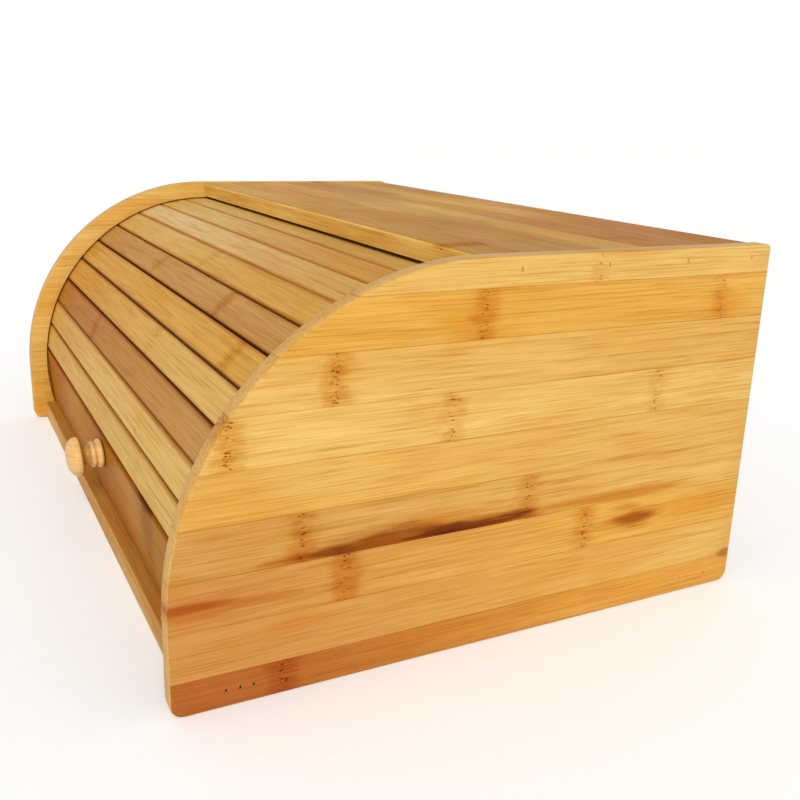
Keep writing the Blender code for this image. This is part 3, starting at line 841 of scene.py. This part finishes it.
def turned_piece(name, profile, segments, axis_point, axis):
    """A solid turned about an axis through axis_point. The profile is (radius, distance along the axis)."""
    builder = bmesh.new()
    points = [builder.verts.new((radius, 0, height)) for radius, height in profile]
    edges = [builder.edges.new(pair) for pair in zip(points, points[1:])]
    bmesh.ops.spin(builder, geom=points + edges, axis=(0, 0, 1), cent=(0, 0, 0), angle=2 * math.pi,
                   steps=segments, use_merge=True)
    bmesh.ops.remove_doubles(builder, verts=builder.verts, dist=DOUBLED)
    bmesh.ops.recalc_face_normals(builder, faces=builder.faces)
    mesh = bpy.data.meshes.new(name)
    builder.to_mesh(mesh)
    builder.free()
    mesh.shade_smooth()
    mesh.set_sharp_from_angle(angle=KNOB_CRISP)
    thing = bpy.data.objects.new(name, mesh)
    bpy.context.scene.collection.objects.link(thing)
    thing.rotation_mode = "QUATERNION"
    thing.rotation_quaternion = Vector(axis).to_track_quat("Z", "Y")
    thing.location = axis_point
    return thing


def arc_points(centre, radius, start, end, count):
    """(radius, height) points on an arc of a turned profile, angles in degrees from straight out."""
    points = []
    for step in range(count + 1):
        angle = math.radians(start + (end - start) * step / count)
        points.append((centre[0] + radius * math.cos(angle), centre[1] + radius * math.sin(angle)))
    return points


def knob_profile(length):
    """(radius, height above the rail): bore, foot ring, two beads, hollow neck, and a domed cap."""
    bore, base, neck, cap = SCREW_HOLE_RADIUS, KNOB_BASE, KNOB_NECK, KNOB_CAP
    profile = [(0, BORE_DEPTH), (bore, BORE_DEPTH), (bore, 0.0004), (bore + 0.0004, 0.0003)]
    profile += [(base - LOW_BEAD, 0.0003)]
    profile += arc_points((base - LOW_BEAD, 0.0019), LOW_BEAD, -80, 70, 10)
    profile += [(base - LOW_BEAD, 0.00365)]
    profile += arc_points((base - 0.0022, 0.0053), HIGH_BEAD, -70, 75, 10)
    profile += [(neck + 0.0008, 0.0072), (neck + 0.0002, 0.0079), (neck, 0.0087), (neck + 0.0002, 0.0095)]
    profile += [(neck + 0.0011, 0.0104), (neck + 0.0026, 0.0110)]
    profile += arc_points((cap - CAP_RIM, 0.0127), CAP_RIM, -75, 10, 8)
    for step in range(1, DOME_STEPS):
        angle = math.pi / 2 * step / DOME_STEPS
        dome_radius = cap * math.cos(angle) ** DOME_FULLNESS
        profile.append((dome_radius, DOME_BASE + (length - DOME_BASE) * math.sin(angle)))
    profile.append((0, length))
    return profile


def knob_material():
    """Light close-grained wood: soft layers across the axis, and short fine pores along them, with painted
    shade at the neck.
    """
    graph = Graph("knob_wood")
    x, y, z = graph.separate(graph.coordinate("Object"))
    sway = graph.noise(stretch(graph, (x, y, z), (60, 60, 30)), 3.0, 2, 0.5)
    level = graph.add(y, graph.multiply(sway, 0.004))
    layers = graph.noise(stretch(graph, (x, level, z), (40, 620, 40)), 1.0, 2, 0.5)
    pores = graph.noise(stretch(graph, (x, y, z), (260, 2200, 2200)), 8.0, 2, 0.6)
    colour = graph.mix(graph.smooth(layers, 0.35, 0.68), linear(204, 168, 106), linear(192, 150, 90))
    colour = graph.shaded(colour, graph.smooth(pores, 0.56, 0.72, 0, 0.6), FIBRE)
    colour = graph.shaded(colour, graph.smooth(sway, 0.55, 0.75, 0, 0.4), WARMTH)
    # Painted shade round the neck, under the cap
    from_neck = graph.math("ABSOLUTE", graph.subtract(z, NECK_HEIGHT))
    colour = graph.shaded(colour, graph.smooth(from_neck, 0.0034, 0.0014, 0, 0.85), PAINTED_SHADE)
    graph.put(graph.shader.inputs["Base Color"], colour)
    graph.put(graph.shader.inputs["Roughness"], graph.smooth(sway, 0.3, 0.7, 0.32, 0.44))
    graph.put(graph.shader.inputs["Normal"], graph.bump(pores, 0.00006, 0.4))
    graph.shader.inputs["Specular IOR Level"].default_value = 0.25
    graph.shader.inputs["Specular Tint"].default_value = (1.0, 0.90, 0.72, 1.0)
    return graph.material


def make_knob():
    """Stands where the CAD's knob does, square to the rail's outer face."""
    turn, _, reach, _ = slat_frame("bottom_rail")
    outward = outward_at(turn)
    points = [vertex.co - PIVOT for vertex in nodes["knob"].data.vertices]
    middle = sum(points, Vector()) / len(points)
    length = max(point.dot(outward) for point in points) - reach
    seat = PIVOT + middle + outward * (reach - middle.dot(outward))
    knob = turned_piece("turned_knob", knob_profile(length - KNOB_SHORTER), KNOB_SEGMENTS, seat, outward)
    knob.data.materials.append(knob_material())
    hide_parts("knob")
    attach(knob, "door")


# ---------------------------------------------------------------- nails and screw

# How far the filler swells over a sunk nail, until it touches the walls of the hole
FILLER = 0.00034


def steel_material(name, bright, roughness):
    """Brushed steel, dull in places. bright is its screen colour where it is clean."""
    graph = Graph(name)
    parts = graph.separate(graph.coordinate("Object"))
    scratches = graph.noise(stretch(graph, parts, (300, 2600, 2600)), 5.0, 3, 0.6)
    stain = graph.noise(stretch(graph, parts, (700, 700, 700)), 1.0, 2, 0.5)
    colour = graph.mix(graph.smooth(stain, 0.45, 0.7, 0, 0.6), linear(*bright), linear(96, 84, 74))
    dullness = graph.smooth(scratches, 0.3, 0.7, roughness - 0.08, roughness + 0.12)
    graph.put(graph.shader.inputs["Base Color"], colour)
    graph.put(graph.shader.inputs["Roughness"], dullness)
    graph.put(graph.shader.inputs["Normal"], graph.bump(scratches, 0.00004, 0.3))
    graph.shader.inputs["Metallic"].default_value = 1.0
    return graph.material


def putty_material():
    """Wood filler smoothed over a sunk nail, a little darker than the bamboo round it."""
    graph = Graph("wood_filler")
    grit = graph.noise(graph.coordinate("Object"), 0.0, 3, 0.6)
    parts = graph.separate(graph.coordinate("Object"))
    specks = graph.noise(stretch(graph, parts, (5000, 5000, 5000)), 2.0, 2, 0.5)
    colour = graph.mix(graph.smooth(specks, 0.4, 0.65), tone("gold"), tone("caramel"))
    graph.put(graph.shader.inputs["Base Color"], colour)
    graph.put(graph.shader.inputs["Roughness"], graph.smooth(grit, 0.3, 0.7, 0.55, 0.70))
    graph.put(graph.shader.inputs["Normal"], graph.bump(specks, 0.00005, 0.4))
    graph.shader.inputs["Specular IOR Level"].default_value = 0.2
    return graph.material


def fill_hole(nail):
    swell = nail.modifiers.new("filler", "DISPLACE")
    swell.mid_level = 0
    swell.strength = FILLER


def dress_metal():
    """The brads in the front lower corners show their steel, and the others are filled over."""
    nail_steel = steel_material("nail_steel", (64, 48, 38), 0.55)
    putty = putty_material()
    for name in nodes:
        if not name.startswith("nail_"):
            continue
        if "front" in name:
            dress(name, nail_steel)
        else:
            dress(name, putty)
            fill_hole(nodes[name])
    dress("knob_screw", steel_material("screw_steel", (200, 198, 194), 0.30))


# ---------------------------------------------------------------- canvas

# The pitch of its threads, its thickness, and the grid of points it is made of
THREAD = 0.0007
CLOTH_THICKNESS = 0.0004
CLOTH_ROWS = 14 * len(SLATS)
CLOTH_COLUMNS = 40


def canvas_material():
    """Plain-woven cotton: warp and weft threads, with slubs."""
    graph = Graph("cotton_canvas")
    x, y, _ = graph.separate(graph.coordinate("UV"))
    warp = graph.math("SINE", graph.multiply(x, 2 * math.pi / THREAD))
    weft = graph.math("SINE", graph.multiply(y, 2 * math.pi / THREAD))
    weave = graph.multiply(warp, weft)
    slub = graph.noise(stretch(graph, (x, y, 0.0), (40, 900, 0)), 2.0, 3, 0.6)
    thread = graph.mix(graph.smooth(slub, 0.35, 0.7, 0, 0.6), linear(206, 170, 118), linear(182, 142, 92))
    colour = graph.mix(graph.smooth(weave, -1.0, 1.0, 0.35, 0.0), thread, linear(136, 98, 56))
    graph.put(graph.shader.inputs["Base Color"], colour)
    graph.put(graph.shader.inputs["Roughness"], graph.smooth(slub, 0.3, 0.7, 0.85, 0.95))
    graph.put(graph.shader.inputs["Normal"], graph.bump(weave, 0.0002, 0.6))
    graph.shader.inputs["Sheen Weight"].default_value = 0.25
    return graph.material


def cloth_path():
    """(y, z) points up the cloth, which is flat behind each strip and folded where two of them meet."""
    turns = [slat_frame(name)[0] for name in DOOR_STRIPS]
    points = [vertex.co for vertex in nodes["canvas_backing"].data.vertices]
    angles = [math.atan2(point.z - PIVOT.z, PIVOT.y - point.y) for point in points]
    start, end = min(angles), max(angles)
    outer = slat_frame("bottom_rail")[1] - CLOTH_THICKNESS
    path = []
    for row in range(CLOTH_ROWS + 1):
        angle = start + (end - start) * row / CLOTH_ROWS
        near = min(turns, key=lambda turn: abs(turn - angle))
        reach = outer / math.cos(angle - near)
        path.append((PIVOT.y - reach * math.cos(angle), PIVOT.z + reach * math.sin(angle)))
    return path


def cloth_mesh(left, width):
    """The cloth's mesh, with its threads' coordinates in metres, and its length along the path."""
    builder = bmesh.new()
    uv_layer = builder.loops.layers.uv.new("cloth")
    rows = []
    lengths = []
    for y, z in cloth_path():
        places = [left + width * column / CLOTH_COLUMNS for column in range(CLOTH_COLUMNS + 1)]
        row = [builder.verts.new((x, y, z)) for x in places]
        lengths.append(lengths[-1] + (row[0].co - rows[-1][0].co).length if rows else 0.0)
        rows.append(row)
    for r in range(CLOTH_ROWS):
        for c in range(CLOTH_COLUMNS):
            corners = [(r, c), (r, c + 1), (r + 1, c + 1), (r + 1, c)]
            face = builder.faces.new([rows[row][column] for row, column in corners])
            for loop, (row, column) in zip(face.loops, corners):
                loop[uv_layer].uv = (width * column / CLOTH_COLUMNS, lengths[row])
    bmesh.ops.recalc_face_normals(builder, faces=builder.faces)
    mesh = bpy.data.meshes.new("canvas_cloth")
    builder.to_mesh(mesh)
    builder.free()
    mesh.shade_smooth()
    return mesh, lengths[-1]


def make_canvas():
    """The cloth that joins the strips into one door."""
    low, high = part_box("canvas_backing")
    width = high.x - low.x
    mesh, length = cloth_mesh(low.x, width)
    cloth = bpy.data.objects.new("canvas_cloth", mesh)
    bpy.context.scene.collection.objects.link(cloth)
    thick = cloth.modifiers.new("thickness", "SOLIDIFY")
    thick.thickness = CLOTH_THICKNESS
    thick.offset = -1
    cloth.data.materials.append(canvas_material())
    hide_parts("canvas_backing")
    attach(cloth, "door")


# ---------------------------------------------------------------- stage

# A large soft window beside the box's right front corner
WINDOW_FROM = (0.80, -0.35, 0.52)
WINDOW_STRENGTH = 2.9
WINDOW_SPREAD = math.radians(35)
WINDOW_COLOUR = (1.0, 0.985, 0.96)

# The room is white low down and fades to a greyer strength between these heights of the direction looked in
OVERHEAD = 0.62
FADE_FROM = 0.25
FADE_TO = 0.60

FLOOR_HALF_SIZE = 6.0
FLOOR_DROP = 0.0002


def make_floor():
    builder = bmesh.new()
    bmesh.ops.create_grid(builder, x_segments=8, y_segments=8, size=FLOOR_HALF_SIZE)
    mesh = bpy.data.meshes.new("floor")
    builder.to_mesh(mesh)
    builder.free()
    floor = bpy.data.objects.new("floor", mesh)
    bpy.context.scene.collection.objects.link(floor)
    floor.location.z = cad_low.z - FLOOR_DROP
    graph = Graph("pale_floor")
    cloud = graph.noise(graph.coordinate("Object"), 0.0, 2, 0.5)
    pale = graph.mix(cloud, (0.86, 0.86, 0.86, 1), (0.90, 0.90, 0.90, 1))
    graph.put(graph.shader.inputs["Base Color"], pale)
    graph.shader.inputs["Roughness"].default_value = 0.7
    graph.shader.inputs["Specular IOR Level"].default_value = 0.2
    mesh.materials.append(graph.material)


def make_room():
    world = bpy.data.worlds.new("studio")
    world.use_nodes = True
    sky = world.node_tree
    direction = sky.nodes.new("ShaderNodeTexCoord")
    parts = sky.nodes.new("ShaderNodeSeparateXYZ")
    fade = sky.nodes.new("ShaderNodeMapRange")
    fade.interpolation_type = "SMOOTHSTEP"
    fade.inputs["From Min"].default_value = FADE_FROM
    fade.inputs["From Max"].default_value = FADE_TO
    fade.inputs["To Min"].default_value = 1.0
    fade.inputs["To Max"].default_value = OVERHEAD
    sky.links.new(direction.outputs["Generated"], parts.inputs[0])
    sky.links.new(parts.outputs["Z"], fade.inputs["Value"])
    sky.links.new(fade.outputs["Result"], sky.nodes["Background"].inputs["Strength"])
    sky.nodes["Background"].inputs["Color"].default_value = (1.0, 1.0, 1.0, 1.0)
    bpy.context.scene.world = world


def make_window():
    light = bpy.data.lights.new("window", "SUN")
    light.energy = WINDOW_STRENGTH
    light.angle = WINDOW_SPREAD
    light.color = WINDOW_COLOUR
    window = bpy.data.objects.new("window", light)
    bpy.context.scene.collection.objects.link(window)
    window.rotation_mode = "QUATERNION"
    window.rotation_quaternion = Vector(WINDOW_FROM).to_track_quat("Z", "Y")


# The camera's place, the directions to its right and ahead of it, and its lens and sensor in millimetres
CAMERA_PLACE = (0.5002, -0.2000, 0.2143)
CAMERA_RIGHT = (0.4550, 0.8900, 0.0290)
CAMERA_AHEAD = (-0.8492, 0.4434, -0.2868)
LENS = 42.458
SENSOR = 36


def make_camera():
    """At the viewing angle of a person standing at the box's right front corner."""
    data = bpy.data.cameras.new("camera")
    camera = bpy.data.objects.new("camera", data)
    bpy.context.scene.collection.objects.link(camera)
    ahead = Vector(CAMERA_AHEAD).normalized()
    down = ahead.cross(Vector(CAMERA_RIGHT).normalized()).normalized()
    right = down.cross(ahead)
    rotation = Matrix((right, -down, -ahead)).transposed()
    camera.matrix_world = Matrix.Translation(CAMERA_PLACE) @ rotation.to_4x4()
    data.sensor_width = SENSOR
    data.lens = LENS
    data.clip_start = 0.01
    bpy.context.scene.camera = camera
    bpy.context.scene.view_settings.view_transform = "Standard"


make_camera()
smooth_all(make_smoothing())
dress_side_panels()
dress_boards()
make_door_strips()
dress_metal()
make_knob()
make_canvas()
make_floor()
make_room()
make_window()
